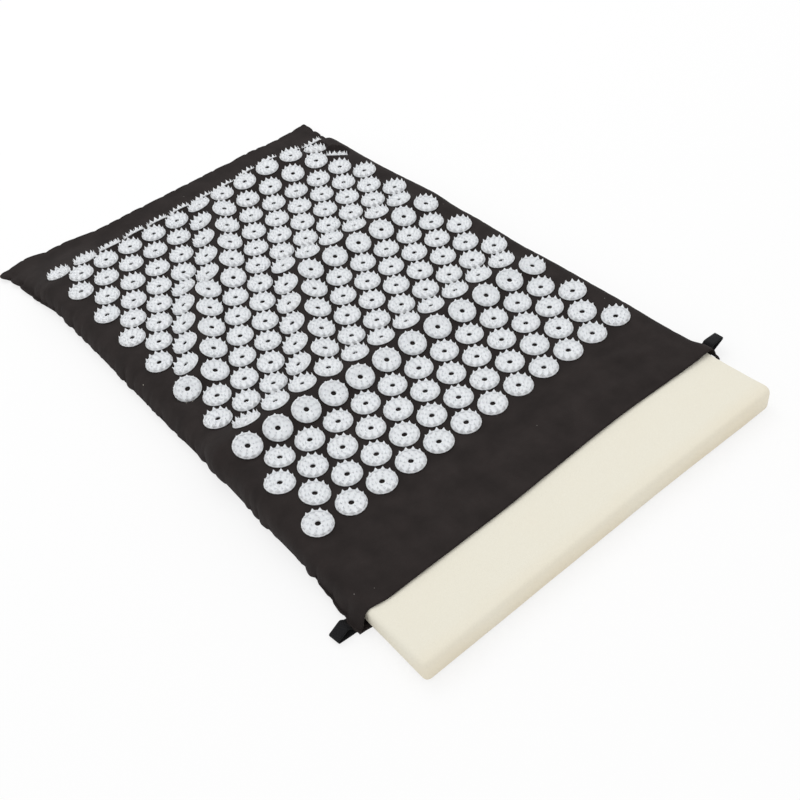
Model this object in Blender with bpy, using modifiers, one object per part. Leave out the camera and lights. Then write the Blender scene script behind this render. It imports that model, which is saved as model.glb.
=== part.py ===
"""Acupressure mat: a flat cloth cover set with rows of moulded spike discs, and a
foam pad that slides out of the cover's open end.

Metres, +Z up. The origin is on the underside, at the middle of the cover. +Y runs
along the mat towards its closed end, and +X across it.
"""

import math

import bmesh
import bpy
from mathutils import Matrix, Vector

# Cover, measured flat from seam to seam
COVER_WIDTH = 0.402
COVER_LENGTH = 0.640
FABRIC_THICKNESS = 0.0008
SEAM_FLAT = 0.003
MOUTH_RECESS = 0.007

# Foam pad, drawn partly out of the mouth
PAD_SIDE_ROOM = 0.009
PAD_THICKNESS = 0.020
PAD_TOP_RADIUS = 0.007
PAD_BOTTOM_RADIUS = 0.0015
PAD_CORNER_RADIUS = 0.008
PAD_SHOWING = 0.069
PAD_HOME_REACH = 0.002

# Closure tape sewn inside the mouth, hooks below and loops above
TAPE_WIDTH = 0.020
TAPE_THICKNESS = 0.0008
TAPE_SIDE_INSET = 0.030
TAPE_MOUTH_INSET = 0.006

# Pieces that touch keep this much air between their meshes
SEAT_GAP = 0.0003

# Spike discs, in rows that nest into each other by a hair
DISC_DIAMETER = 0.0272
DISC_SIDE_GAP = 0.0035
ROW_NESTING = 0.0002
BARE_BAND = 0.0699
LAST_ROW_MARGIN = 0.045
DISC_PLATE_THICKNESS = 0.0018
DISC_RIM_BEVEL = 0.0006
DISC_HOLE_DIAMETER = 0.0032
SPIKE_HEIGHT = 0.0034
SPIKE_BASE_RADIUS = 0.0014
SPIKE_RING_COUNTS = (12, 9, 6)
SPIKE_RING_SHARES = (0.853, 0.596, 0.331)
DISC_SINK = 0.0003
CUT_OVERRUN = 0.002

# Creases that cross the cloth between two rows, as shares of the row count
CREASE_ROW_SHARES = (0.21, 0.53)
CREASE_RISE = 0.006

# The closed end has no pad in it, so its last row lies on cloth that falls to the floor
FALLEN_ROWS = 1
FALL_SLOPE = math.radians(45.0)

# Webbing loops caught in the side seams near the mouth
WEBBING_WIDTH = 0.011
WEBBING_THICKNESS = 0.001
WEBBING_REACH = 0.018
WEBBING_EYE = 0.0054
WEBBING_THROAT = 0.006
WEBBING_MOUTH_INSET = 0.016
WEBBING_LIFT = 0.0005
WEBBING_FLOOR_GAP = 0.0002

# How finely round forms are faceted
DISC_SEGMENTS = 18
HOLE_SEGMENTS = 6
SPIKE_SIDES = 3
PLAIN_DISC_SEGMENTS = 10
BEVEL_SEGMENTS = 3
LOOP_ARC_STEPS = 8
SHOULDER_STEPS = 3
MERGE_DISTANCE = 0.00001
UPRIGHT_SHARE = 0.99
LEAST_MITRE_SHARE = 0.5

# Rows whose discs are pieces of their own, and how many of those show every spike
SEPARATE_ROWS = 4
FULL_DETAIL_ROWS = 1

# Heights of the stack, worked out from the floor up
PAD_BOTTOM = FABRIC_THICKNESS + SEAT_GAP + TAPE_THICKNESS + SEAT_GAP
PAD_TOP = PAD_BOTTOM + PAD_THICKNESS
TOP_UNDERSIDE = PAD_TOP + SEAT_GAP + TAPE_THICKNESS + SEAT_GAP
SEAM_UNDERSIDE = FABRIC_THICKNESS + SEAT_GAP
CLOTH_RISE = TOP_UNDERSIDE - SEAM_UNDERSIDE

# How far apart the discs lie, and how many the cover has room for
DISC_PITCH = DISC_DIAMETER + DISC_SIDE_GAP
ROW_PITCH = DISC_DIAMETER - ROW_NESTING
FIRST_ROW_INSET = BARE_BAND + DISC_DIAMETER / 2
PAD_WIDTH = COVER_WIDTH - 2 * PAD_SIDE_ROOM
FLAT_WIDTH = PAD_WIDTH - 2 * PAD_TOP_RADIUS
DISC_COUNT_LONG_ROW = 1 + int((FLAT_WIDTH - DISC_DIAMETER) / DISC_PITCH)
DISC_STRETCH = COVER_LENGTH - MOUTH_RECESS - FIRST_ROW_INSET - LAST_ROW_MARGIN
ROW_COUNT = 1 + int(DISC_STRETCH / ROW_PITCH)

# Places along the mat
MOUTH_Y = -COVER_LENGTH / 2
TOP_EDGE_Y = MOUTH_Y + MOUTH_RECESS
CLOSED_Y = COVER_LENGTH / 2
PAD_NEAR_Y = TOP_EDGE_Y - PAD_SHOWING
FALL_START = FIRST_ROW_INSET + (ROW_COUNT - FALLEN_ROWS) * ROW_PITCH - ROW_PITCH / 2
PAD_LENGTH = FALL_START + PAD_HOME_REACH
PARTS = "acupressure_mat"
HELPERS = "helpers"

COLOURS = {
    "cloth": ((0.032, 0.028, 0.027, 1.0), 0.9),
    "foam": ((0.84, 0.80, 0.68, 1.0), 0.95),
    "disc": ((0.80, 0.82, 0.84, 1.0), 0.45),
    "webbing": ((0.012, 0.012, 0.013, 1.0), 0.8),
    "tape": ((0.02, 0.02, 0.022, 1.0), 0.95),
}


def clear_scene():
    for found in list(bpy.data.objects):
        bpy.data.objects.remove(found, do_unlink=True)


def collection(name):
    made = bpy.data.collections.new(name)
    bpy.context.scene.collection.children.link(made)
    return made


def material(name):
    colour, roughness = COLOURS[name]
    made = bpy.data.materials.new(name)
    made.use_nodes = True
    shader = made.node_tree.nodes["Principled BSDF"]
    shader.inputs["Base Color"].default_value = colour
    shader.inputs["Roughness"].default_value = roughness
    shader.inputs["Metallic"].default_value = 0.0
    return made


def new_object(name, mesh, finish, origin=Vector()):
    """Adds an object to the parts, with its origin moved to a point and its mesh left in place."""
    mesh.transform(Matrix.Translation(-origin))
    made = bpy.data.objects.new(name, mesh)
    made.location = origin
    if finish:
        mesh.materials.append(finish)
    bpy.data.collections[PARTS].objects.link(made)
    return made


def helper(name, mesh):
    made = bpy.data.objects.new(name, mesh)
    made.hide_render = True
    made.display_type = "WIRE"
    bpy.data.collections[HELPERS].objects.link(made)
    return made


def mesh_from(bm, name):
    bmesh.ops.recalc_face_normals(bm, faces=bm.faces)
    mesh = bpy.data.meshes.new(name)
    bm.to_mesh(mesh)
    bm.free()
    return mesh


def evaluated_mesh(source, name):
    """The mesh of an object with its modifiers applied."""
    bpy.context.view_layer.update()
    graph = bpy.context.evaluated_depsgraph_get()
    mesh = bpy.data.meshes.new_from_object(source.evaluated_get(graph))
    mesh.name = name
    return mesh


def boolean(target, other, operation):
    added = target.modifiers.new(other.name, "BOOLEAN")
    added.operation = operation
    added.solver = "EXACT"
    added.object = other


def box_bmesh(low, high):
    bm = bmesh.new()
    bmesh.ops.create_cube(bm, size=1.0)
    size = [b - a for a, b in zip(low, high)]
    middle = [(a + b) / 2 for a, b in zip(low, high)]
    bmesh.ops.scale(bm, vec=size, verts=bm.verts)
    bmesh.ops.translate(bm, vec=middle, verts=bm.verts)
    return bm


def is_upright(edge):
    return abs((edge.verts[0].co - edge.verts[1].co).normalized().z) > UPRIGHT_SHARE


def round_edges(bm, edges, radius, segments=BEVEL_SEGMENTS):
    bmesh.ops.bevel(
        bm,
        geom=edges,
        offset=radius,
        offset_type="OFFSET",
        segments=segments,
        profile=0.5,
        affect="EDGES",
        clamp_overlap=True,
    )


# Cloth surface, followed from the mouth to the closed end


def row_distance(row):
    """How far a row lies from the mouth's edge, along the cloth."""
    return FIRST_ROW_INSET + row * ROW_PITCH


def cloth_bends():
    """(distance along the cloth, height above the seam) where the top panel bends, from the mouth."""
    bends = [(0.0, CLOTH_RISE)]
    for share in CREASE_ROW_SHARES:
        crest = row_distance(round(share * ROW_COUNT)) + ROW_PITCH / 2
        bends.append((crest - ROW_PITCH, CLOTH_RISE))
        bends.append((crest, CLOTH_RISE + CREASE_RISE))
        bends.append((crest + ROW_PITCH, CLOTH_RISE))
    steep_drop = ROW_PITCH * math.sin(FALL_SLOPE)
    bends.append((FALL_START, CLOTH_RISE))
    bends.append((FALL_START + ROW_PITCH, CLOTH_RISE - steep_drop))
    bends.append((FALL_START + 2 * ROW_PITCH, 0.0))
    return bends


def cloth_stations():
    """(distance along the cloth, y, height share) at each bend, and at the closed end."""
    bends = cloth_bends()
    y = TOP_EDGE_Y
    stations = [(0.0, y, 1.0)]
    for (start, height), (end, next_height) in zip(bends, bends[1:]):
        y += math.sqrt((end - start) ** 2 - (next_height - height) ** 2)
        stations.append((end, y, next_height / CLOTH_RISE))
    foot = bends[-1][0]
    stations.append((foot + CLOSED_Y - y, CLOSED_Y, 0.0))
    return stations


def station_at(along):
    """(distance along the cloth, y, height share, tilt) at any distance."""
    stations = cloth_stations()
    for (start, y0, share0), (end, y1, share1) in zip(stations, stations[1:]):
        if along <= end:
            break
    part = (along - start) / (end - start)
    tilt = math.atan2(CLOTH_RISE * (share1 - share0), y1 - y0)
    return along, y0 + (y1 - y0) * part, share0 + (share1 - share0) * part, tilt


def shoulder_profile():
    """(x, height share) across the right half, from the seam up round the pad's shoulder."""
    reach = PAD_TOP_RADIUS + TOP_UNDERSIDE - PAD_TOP
    centre_x = PAD_WIDTH / 2 - PAD_TOP_RADIUS
    centre_z = PAD_TOP - PAD_TOP_RADIUS
    seam_x = COVER_WIDTH / 2 - SEAM_FLAT
    run = seam_x - centre_x
    drop = SEAM_UNDERSIDE - centre_z
    tangent = math.atan2(drop, run) + math.acos(reach / math.hypot(run, drop))
    points = [(COVER_WIDTH / 2, 0.0), (seam_x, 0.0)]
    for step in range(SHOULDER_STEPS + 1):
        angle = tangent + (math.pi / 2 - tangent) * step / SHOULDER_STEPS
        z = centre_z + reach * math.sin(angle)
        share = (z - SEAM_UNDERSIDE) / CLOTH_RISE
        points.append((centre_x + reach * math.cos(angle), share))
    return points


def top_surface(stations):
    """The underside of the top cloth as an open grid, one column of points for each bend."""
    half = shoulder_profile()
    across = [(-x, share) for x, share in half] + [(x, share) for x, share in reversed(half)]
    bm = bmesh.new()
    bmesh.ops.create_grid(
        bm, x_segments=len(across) - 1, y_segments=len(stations) - 1, size=1.0
    )
    for vert in bm.verts:
        column = round((vert.co.x + 1.0) / 2.0 * (len(across) - 1))
        row = round((vert.co.y + 1.0) / 2.0 * (len(stations) - 1))
        x, side_share = across[column]
        along, y, end_share = stations[row][:3]
        if along == 0.0:
            y -= MOUTH_RECESS * (1.0 - side_share)
        vert.co = Vector((x, y, SEAM_UNDERSIDE + CLOTH_RISE * side_share * end_share))
    return bm


def cloth_frame(along, across):
    """The place and tilt of a point on the top cloth's face, by its distance along the cloth."""
    _, y, share, tilt = station_at(along)
    place = Vector((across, y, SEAM_UNDERSIDE + CLOTH_RISE * share))
    turn = Matrix.Rotation(tilt, 4, "X")
    face = turn @ Vector((0.0, 0.0, FABRIC_THICKNESS))
    return Matrix.Translation(place + face) @ turn


def disc_places(row):
    """The frames of one row's discs. Rows alternate between the long count and one fewer."""
    count = DISC_COUNT_LONG_ROW - row % 2
    start = -(count - 1) * DISC_PITCH / 2
    return [cloth_frame(row_distance(row), start + i * DISC_PITCH) for i in range(count)]


# Discs


def plain_disc(bm, frame, base):
    """A crown with every second corner drawn up to a point and a dished face, from base height up."""
    height = DISC_PLATE_THICKNESS - base
    made = bmesh.ops.create_cone(
        bm,
        cap_ends=True,
        segments=PLAIN_DISC_SEGMENTS,
        radius1=DISC_DIAMETER / 2,
        radius2=DISC_DIAMETER / 2,
        depth=height,
    )["verts"]
    bmesh.ops.translate(bm, vec=(0, 0, base + height / 2), verts=made)
    upper = [v for v in made if v.co.z > base + height / 2]
    upper.sort(key=lambda v: math.atan2(v.co.y, v.co.x))
    top = next(f for f in upper[0].link_faces if all(v in upper for v in f.verts))
    middle = bmesh.ops.poke(bm, faces=[top])["verts"]
    for point in upper[::2]:
        point.co.z += SPIKE_HEIGHT
    bmesh.ops.transform(bm, matrix=frame, verts=made + middle)


def spike_places():
    for count, share in zip(SPIKE_RING_COUNTS, SPIKE_RING_SHARES):
        radius = share * DISC_DIAMETER / 2
        for i in range(count):
            angle = 2 * math.pi * i / count
            yield radius * math.cos(angle), radius * math.sin(angle), angle


def spikes_mesh():
    """Every spike of one disc, standing on its plate."""
    bm = bmesh.new()
    depth = SPIKE_HEIGHT + DISC_SINK
    for x, y, angle in spike_places():
        made = bmesh.ops.create_cone(
            bm,
            cap_ends=True,
            segments=SPIKE_SIDES,
            radius1=SPIKE_BASE_RADIUS,
            radius2=0,
            depth=depth,
            matrix=Matrix.Rotation(angle, 4, "Z"),
        )["verts"]
        bmesh.ops.translate(
            bm, vec=(x, y, DISC_PLATE_THICKNESS - DISC_SINK + depth / 2), verts=made
        )
    bmesh.ops.remove_doubles(bm, verts=bm.verts, dist=MERGE_DISTANCE)
    return mesh_from(bm, "spikes")


def disc_plate_mesh():
    """The round plate, with its upper edge bevelled."""
    outer = DISC_DIAMETER / 2
    bm = bmesh.new()
    bmesh.ops.create_cone(
        bm,
        cap_ends=True,
        segments=DISC_SEGMENTS,
        radius1=outer,
        radius2=outer,
        depth=DISC_PLATE_THICKNESS,
    )
    bmesh.ops.translate(bm, vec=(0, 0, DISC_PLATE_THICKNESS / 2), verts=bm.verts)
    top_edges = [e for e in bm.edges if all(v.co.z > DISC_PLATE_THICKNESS / 2 for v in e.verts)]
    round_edges(bm, top_edges, DISC_RIM_BEVEL, segments=1)
    return mesh_from(bm, "plate")


def spike_disc_mesh():
    """One whole disc: plate, centre hole and all of its spikes, joined."""
    plate = helper("disc_plate", disc_plate_mesh())
    spikes = helper("disc_spikes", spikes_mesh())
    bm = bmesh.new()
    bmesh.ops.create_cone(
        bm,
        cap_ends=True,
        segments=HOLE_SEGMENTS,
        radius1=DISC_HOLE_DIAMETER / 2,
        radius2=DISC_HOLE_DIAMETER / 2,
        depth=DISC_PLATE_THICKNESS + 2 * CUT_OVERRUN,
    )
    bmesh.ops.translate(bm, vec=(0, 0, DISC_PLATE_THICKNESS / 2), verts=bm.verts)
    hole = helper("disc_hole", mesh_from(bm, "hole"))
    boolean(plate, spikes, "UNION")
    boolean(plate, hole, "DIFFERENCE")
    return evaluated_mesh(plate, "spike_disc")


def separate_discs(finish):
    """The discs nearest the mouth, each a piece of its own that sits on the cloth."""
    detailed = spike_disc_mesh()
    detailed.materials.append(finish)
    bm = bmesh.new()
    plain_disc(bm, Matrix(), 0.0)
    plain = mesh_from(bm, "plain_disc")
    plain.materials.append(finish)
    for row in range(SEPARATE_ROWS):
        for i, frame in enumerate(disc_places(row)):
            mesh = detailed if row < FULL_DETAIL_ROWS else plain
            made = bpy.data.objects.new(f"spike_disc_{row:02d}_{i:02d}", mesh)
            made.matrix_world = frame @ Matrix.Translation((0.0, 0.0, SEAT_GAP))
            bpy.data.collections[PARTS].objects.link(made)


def carried_discs(name, rows):
    """The discs of some rows, in one helper mesh that is joined to the cloth under them."""
    bm = bmesh.new()
    for row in rows:
        for frame in disc_places(row):
            plain_disc(bm, frame, -DISC_SINK)
    return helper(name, mesh_from(bm, name))


# Pieces


def cloth_with_discs(name, stations, rows, finish):
    panel = new_object(name, mesh_from(top_surface(stations), name), finish)
    wall = panel.modifiers.new("cloth", "SOLIDIFY")
    wall.thickness = FABRIC_THICKNESS
    wall.offset = 1.0
    boolean(panel, carried_discs(f"{name}_discs", rows), "UNION")


def cover_top(finish):
    """The top cloth, parted along the fold where it leaves the pad's height."""
    stations = cloth_stations()
    first_fallen = ROW_COUNT - FALLEN_ROWS
    flat = [station for station in stations if station[0] <= FALL_START]
    fall = [station for station in stations if station[0] > FALL_START]
    after_fold = station_at(FALL_START + SEAT_GAP)
    cloth_with_discs("cover_top_panel", flat, range(SEPARATE_ROWS, first_fallen), finish)
    cloth_with_discs(
        "cover_closed_end", [after_fold] + fall, range(first_fallen, ROW_COUNT), finish
    )


def cover_bottom_panel(finish):
    half = COVER_WIDTH / 2
    bm = box_bmesh((-half, MOUTH_Y, 0.0), (half, CLOSED_Y, FABRIC_THICKNESS))
    new_object("cover_bottom_panel", mesh_from(bm, "cover_bottom_panel"), finish)


def foam_pad(finish):
    half = PAD_WIDTH / 2
    bm = box_bmesh(
        (-half, PAD_NEAR_Y, PAD_BOTTOM), (half, PAD_NEAR_Y + PAD_LENGTH, PAD_TOP)
    )
    round_edges(bm, [e for e in bm.edges if is_upright(e)], PAD_CORNER_RADIUS)
    middle = (PAD_BOTTOM + PAD_TOP) / 2
    upper = [e for e in bm.edges if all(v.co.z > middle for v in e.verts)]
    round_edges(bm, upper, PAD_TOP_RADIUS)
    edge_height = PAD_BOTTOM + PAD_BOTTOM_RADIUS / 2
    lower = [e for e in bm.edges if all(v.co.z < edge_height for v in e.verts)]
    round_edges(bm, lower, PAD_BOTTOM_RADIUS, segments=1)
    origin = Vector((0.0, PAD_NEAR_Y, middle))
    new_object("foam_pad", mesh_from(bm, "foam_pad"), finish, origin)


def closure_tape(name, underside, finish):
    half = COVER_WIDTH / 2 - TAPE_SIDE_INSET
    start = TOP_EDGE_Y + TAPE_MOUTH_INSET
    bm = box_bmesh(
        (-half, start, underside), (half, start + TAPE_WIDTH, underside + TAPE_THICKNESS)
    )
    new_object(name, mesh_from(bm, name), finish)


def webbing_path():
    """(reach, height) along the middle of the webbing, out along the top layer and back below.

    Both ends leave the seam one on the other, and the eye opens past the throat.
    """
    half = (WEBBING_EYE + WEBBING_THICKNESS) / 2
    root = (WEBBING_THICKNESS + SEAT_GAP) / 2
    root_z = WEBBING_FLOOR_GAP + WEBBING_THICKNESS + SEAT_GAP / 2
    eye_z = WEBBING_LIFT + WEBBING_THICKNESS + WEBBING_EYE / 2
    turn_x = WEBBING_REACH - WEBBING_THICKNESS / 2 - half
    points = [(0.0, root_z + root), (WEBBING_THROAT, eye_z + half)]
    for step in range(LOOP_ARC_STEPS + 1):
        angle = math.pi / 2 - math.pi * step / LOOP_ARC_STEPS
        points.append((turn_x + half * math.cos(angle), eye_z + half * math.sin(angle)))
    points += [(WEBBING_THROAT, eye_z - half), (0.0, root_z - root)]
    return [Vector(p) for p in points]


def offset_path(points, distance):
    """The points moved sideways by a distance, mitred where the path turns."""
    moved = []
    for i, point in enumerate(points):
        before = points[max(i - 1, 0)]
        after = points[min(i + 1, len(points) - 1)]
        if before == point:
            before = point - (after - point)
        if after == point:
            after = point + (point - before)
        way_in = (point - before).normalized()
        way_out = (after - point).normalized()
        normal = (way_in.orthogonal() + way_out.orthogonal()).normalized()
        mitre = max(normal.dot(way_in.orthogonal()), LEAST_MITRE_SHARE)
        moved.append(point + normal * distance / mitre)
    return moved


def webbing_loop(name, side, finish):
    path = webbing_path()
    half = WEBBING_THICKNESS / 2
    ring = offset_path(path, half) + offset_path(path, -half)[::-1]
    root_x = COVER_WIDTH / 2 + SEAT_GAP
    bm = bmesh.new()
    near_y = MOUTH_Y + WEBBING_MOUTH_INSET - WEBBING_WIDTH / 2
    verts = [bm.verts.new((root_x + p.x, near_y, p.y)) for p in ring]
    face = bm.faces.new(verts)
    grown = bmesh.ops.extrude_face_region(bm, geom=[face])["geom"]
    moved = [v for v in grown if isinstance(v, bmesh.types.BMVert)]
    bmesh.ops.translate(bm, vec=(0.0, WEBBING_WIDTH, 0.0), verts=moved)
    if side < 0:
        bmesh.ops.scale(bm, vec=(-1.0, 1.0, 1.0), verts=bm.verts)
    new_object(name, mesh_from(bm, name), finish)


def main():
    clear_scene()
    collection(PARTS)
    collection(HELPERS)
    finishes = {name: material(name) for name in COLOURS}
    cover_bottom_panel(finishes["cloth"])
    cover_top(finishes["cloth"])
    foam_pad(finishes["foam"])
    closure_tape("closure_hook_tape", FABRIC_THICKNESS + SEAT_GAP, finishes["tape"])
    closure_tape("closure_loop_tape", PAD_TOP + SEAT_GAP, finishes["tape"])
    webbing_loop("webbing_loop_left", -1, finishes["webbing"])
    webbing_loop("webbing_loop_right", 1, finishes["webbing"])
    separate_discs(finishes["disc"])


if __name__ == "__main__":
    main()
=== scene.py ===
"""Looks of an acupressure mat: a cloth cover set with rows of spike discs, the foam pad
that slides out of its open end, a webbing loop at each side and tape inside the mouth.

Metres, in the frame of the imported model: +Y runs along the mat towards its closed end,
+X across it and +Z up. The cloth is described in its own flat measure (u, s): how far a
point lies across from the middle, and how far along from the mouth's edge.
"""

import math
import random
from collections import namedtuple

import bmesh
import bpy
from mathutils import Euler, Matrix, Quaternion, Vector, noise


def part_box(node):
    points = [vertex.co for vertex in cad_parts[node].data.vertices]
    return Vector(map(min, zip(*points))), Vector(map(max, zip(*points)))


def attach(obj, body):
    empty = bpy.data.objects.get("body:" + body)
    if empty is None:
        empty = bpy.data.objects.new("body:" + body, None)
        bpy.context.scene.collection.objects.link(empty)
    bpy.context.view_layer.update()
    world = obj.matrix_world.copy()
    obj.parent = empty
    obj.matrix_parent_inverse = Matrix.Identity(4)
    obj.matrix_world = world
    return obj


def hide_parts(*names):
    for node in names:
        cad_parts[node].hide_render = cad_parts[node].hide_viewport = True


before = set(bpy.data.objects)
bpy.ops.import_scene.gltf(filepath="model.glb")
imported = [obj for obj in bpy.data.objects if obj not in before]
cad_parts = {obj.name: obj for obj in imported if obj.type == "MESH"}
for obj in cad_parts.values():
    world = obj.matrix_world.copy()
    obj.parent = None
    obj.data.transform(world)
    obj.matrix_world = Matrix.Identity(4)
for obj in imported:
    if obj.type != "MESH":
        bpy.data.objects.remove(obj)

bl_info = {
    "name": "Acupressure Mat",
    "version": (1, 0, 0),
    "blender": (4, 5, 0),
    "location": "View3D > Sidebar > Acupressure Mat",
    "description": "Cloth mat with spike discs, foam pad, webbing loops and closure tape",
    "category": "Object",
}

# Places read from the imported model
PAD_LOW, PAD_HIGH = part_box("foam_pad")
BOTTOM_LOW, BOTTOM_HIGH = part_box("cover_bottom_panel")
END_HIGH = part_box("cover_closed_end")[1]
LOOP_LOW, LOOP_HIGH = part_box("webbing_loop_right")
FIRST_DISC_LOW, FIRST_DISC_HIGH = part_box("spike_disc_00_00")
SECOND_DISC_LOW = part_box("spike_disc_00_01")[0]
NEXT_ROW_LOW, NEXT_ROW_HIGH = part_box("spike_disc_01_00")
SEPARATE_ROWS = 4

# Air between pieces that touch, the cloth's own thickness and the pad's rounded edge
SEAT_GAP = 0.0003
CLOTH_THICKNESS = 0.0008
FOAM_EDGE = 0.007

# Heights of the cloth's outer face, over the pad and at the seam
CLOTH_TOP = FIRST_DISC_LOW.z - SEAT_GAP
SEAM_TOP = 2 * CLOTH_THICKNESS + SEAT_GAP
CLOTH_RISE = CLOTH_TOP - SEAM_TOP

# Disc grid in the cloth's own measure
DISC_PITCH = SECOND_DISC_LOW.x - FIRST_DISC_LOW.x
ROW_PITCH = (NEXT_ROW_LOW.y + NEXT_ROW_HIGH.y - FIRST_DISC_LOW.y - FIRST_DISC_HIGH.y) / 2
MOUTH_RECESS = 0.007
TOP_EDGE_Y = BOTTOM_LOW.y + MOUTH_RECESS
FIRST_ROW = (FIRST_DISC_LOW.y + FIRST_DISC_HIGH.y) / 2 - TOP_EDGE_Y
LONG_ROW = 12
ROW_COUNT = 19
DISC_RADIUS = (FIRST_DISC_HIGH.x - FIRST_DISC_LOW.x) / 2
DISC_BLEND = 0.0042
DISC_JITTER = math.radians(1.6)

# Side of the cloth: round the pad's shoulder, down to the seam and out along its flat
SHOULDER_RADIUS = FOAM_EDGE + CLOTH_TOP - PAD_HIGH.z
SHOULDER_X = PAD_HIGH.x - FOAM_EDGE
SHOULDER_STEPS = 12
SEAM_FLAT = 0.003
HALF_WIDTH = BOTTOM_HIGH.x
SIDE_SOFTENING = 0.003

# Closed end of the cloth: over the fold, down to the floor and out to the seam
FALL_SLOPE = math.radians(40.0)
FALL_START = FIRST_ROW + (ROW_COUNT - 1) * ROW_PITCH - ROW_PITCH / 2
CLOSED_Y = END_HIGH.y
END_SOFTENING = 0.005
PROFILE_STEP = 0.001

# Left end of the fall, which starts sooner and runs down more gently
CORNER_FALL_ADVANCE = 0.004
CORNER_FALL_SLOPE = math.radians(18.0)
CORNER_WIDTH = 0.05
CORNER_BLEND = 0.1

# The mouth's edge bows in from the bottom panel's and dips onto the foam
MOUTH_BOW_X = 0.075
MOUTH_BOW_REACH = 0.15
MOUTH_BOW = 0.0041
MOUTH_BOW_ENDS = -0.0067
MOUTH_DIP = 0.0009
MOUTH_DIP_LENGTH = 0.009
MOUTH_BLEND = 0.03

# Creases of the top cloth: each runs from one place to another, given across the mat and
# in rows, with its rise at both ends and its reach to the right and left of its run
Crease = namedtuple("Crease", "start end start_rise end_rise right left")
CREASES = (
    Crease((-0.215, 4.5), (0.158, 4.5), 0.0085, 0.007, 0.027, 0.034),
    Crease((-0.003, 10.5), (0.16, 10.5), 0.0075, 0.0065, 0.027, 0.034),
    Crease((-0.072, 5.3), (0.012, 10.8), 0.007, 0.008, 0.0267, 0.0267),
    Crease((-0.15, 8.3), (-0.081, 12.5), 0.008, 0.01, 0.0267, 0.0267),
    Crease((-0.053, 12.5), (0.008, 16.5), 0.007, 0.008, 0.0267, 0.0267),
)
CREASE_END_FADE = 0.022
CREASE_ROUNDING = 0.35

# Slack that shifts a stretch of the cloth: middle across and in rows, reach, shift
Shift = namedtuple("Shift", "x row reach_x reach_rows dx dy dz")
SHIFTS = (
    Shift(-0.185, 0.5, 0.07, 4.0, -0.0037, 0.001, 0.0),
    Shift(-0.175, 1.2, 0.046, 2.8, 0.0, 0.0, 0.0042),
    Shift(-0.2, 3.2, 0.08, 4.0, 0.0, 0.0, 0.0065),
    Shift(-0.11, 4.8, 0.06, 2.0, 0.002, 0.0, 0.004),
    Shift(-0.06, 5.6, 0.05, 1.8, 0.0, 0.0, 0.0022),
    Shift(-0.15, 9.0, 0.13, 7.0, 0.0035, 0.0, 0.0),
    Shift(-0.13, 14.0, 0.15, 3.5, 0.001, -0.003, -0.0006),
    Shift(0.0, 18.0, 0.3, 4.4, -0.001, 0.0095, -0.003),
    Shift(0.1, 17.4, 0.06, 2.4, 0.002, 0.0, 0.009),
    Shift(0.14, 16.6, 0.045, 1.8, 0.005, 0.0, 0.0015),
    Shift(0.153, 16.3, 0.055, 2.2, 0.0, 0.0, 0.004),
    Shift(0.185, 5.0, 0.05, 12.0, 0.0, 0.0, 0.002),
    Shift(0.165, 17.2, 0.035, 1.2, 0.005, 0.0, 0.0),
    Shift(0.03, 17.2, 0.08, 1.6, 0.001, 0.001, 0.004),
    Shift(-0.08, 18.6, 0.13, 1.6, 0.005, 0.005, 0.008),
)

# Discs that a sharp fold tips further: degrees about X and Y, and lift
Lean = namedtuple("Lean", "about_x about_y lift")
LEANS = {
    (5, 0): Lean(-11.0, 0.0, 0.0),
    (8, 0): Lean(11.0, 0.0, 0.0),
    (16, 11): Lean(-25.0, 18.0, -0.005),
    (17, 10): Lean(-6.0, 6.0, -0.004),
}

# Long low folds in the bare band by the mouth: both ends in flat measure, height, reach
Fold = namedtuple("Fold", "start end height reach")
FOLDS = (
    Fold((0.178, 0.02), (0.085, 0.07), 0.0011, 0.01),
    Fold((0.15, 0.006), (0.06, 0.036), 0.0008, 0.009),
    Fold((-0.175, 0.06), (-0.08, 0.03), 0.0009, 0.012),
    Fold((-0.06, 0.062), (0.04, 0.05), 0.0006, 0.014),
    Fold((-0.172, 0.012), (-0.12, 0.045), 0.0008, 0.009),
)

# Low wrinkles: over the whole cloth, and more where it is slack
WRINKLE_HEIGHT = 0.0005
SLACK_WRINKLE_HEIGHT = 0.0011

# Gathers along the seams: shallow arcs that meet in notches
PUCKER_LENGTH = 0.019
PUCKER_REACH = 0.013
PUCKER_SCALLOP = 0.0024
PUCKER_LEFT_SHARE = 1.0
PUCKER_RIGHT_SHARE = 0.55
PUCKER_END_SHARE = 0.3

# Turned seam: how far in from the cloth's edge it runs, and the step between its points
WELT_INSET = 0.0006
WELT_STEP = 0.002

# Where the sewn outline leaves the plain rectangle: middle, reach, shift
Pull = namedtuple("Pull", "x y reach dx dy dz")
PULLS = (
    Pull(-HALF_WIDTH, CLOSED_Y, 0.05, -0.006, 0.0085, 0.0),
    Pull(-HALF_WIDTH, CLOSED_Y, 0.015, -0.0058, 0.002, 0.0),
    Pull(-HALF_WIDTH, 0.268, 0.056, -0.0036, 0.0, 0.0),
    Pull(-HALF_WIDTH, -0.09, 0.11, 0.0012, 0.0, 0.0),
    Pull(-0.178, CLOSED_Y, 0.026, 0.0, 0.0035, 0.002),
    Pull(HALF_WIDTH, CLOSED_Y, 0.03, 0.001, 0.0048, 0.0),
    Pull(-HALF_WIDTH, BOTTOM_LOW.y, 0.03, -0.0008, 0.0045, 0.0),
    Pull(HALF_WIDTH, BOTTOM_LOW.y, 0.03, 0.0036, 0.0, 0.004),
    Pull(HALF_WIDTH, -0.085, 0.06, -0.0018, 0.0, 0.0),
    Pull(HALF_WIDTH, 0.06, 0.06, 0.0012, 0.0, 0.0014),
    Pull(HALF_WIDTH, 0.16, 0.06, -0.0016, 0.0, 0.0),
    Pull(HALF_WIDTH, 0.235, 0.07, -0.0012, 0.0, 0.0),
    Pull(-0.15, CLOSED_Y, 0.07, 0.0, 0.002, 0.004),
)
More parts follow.
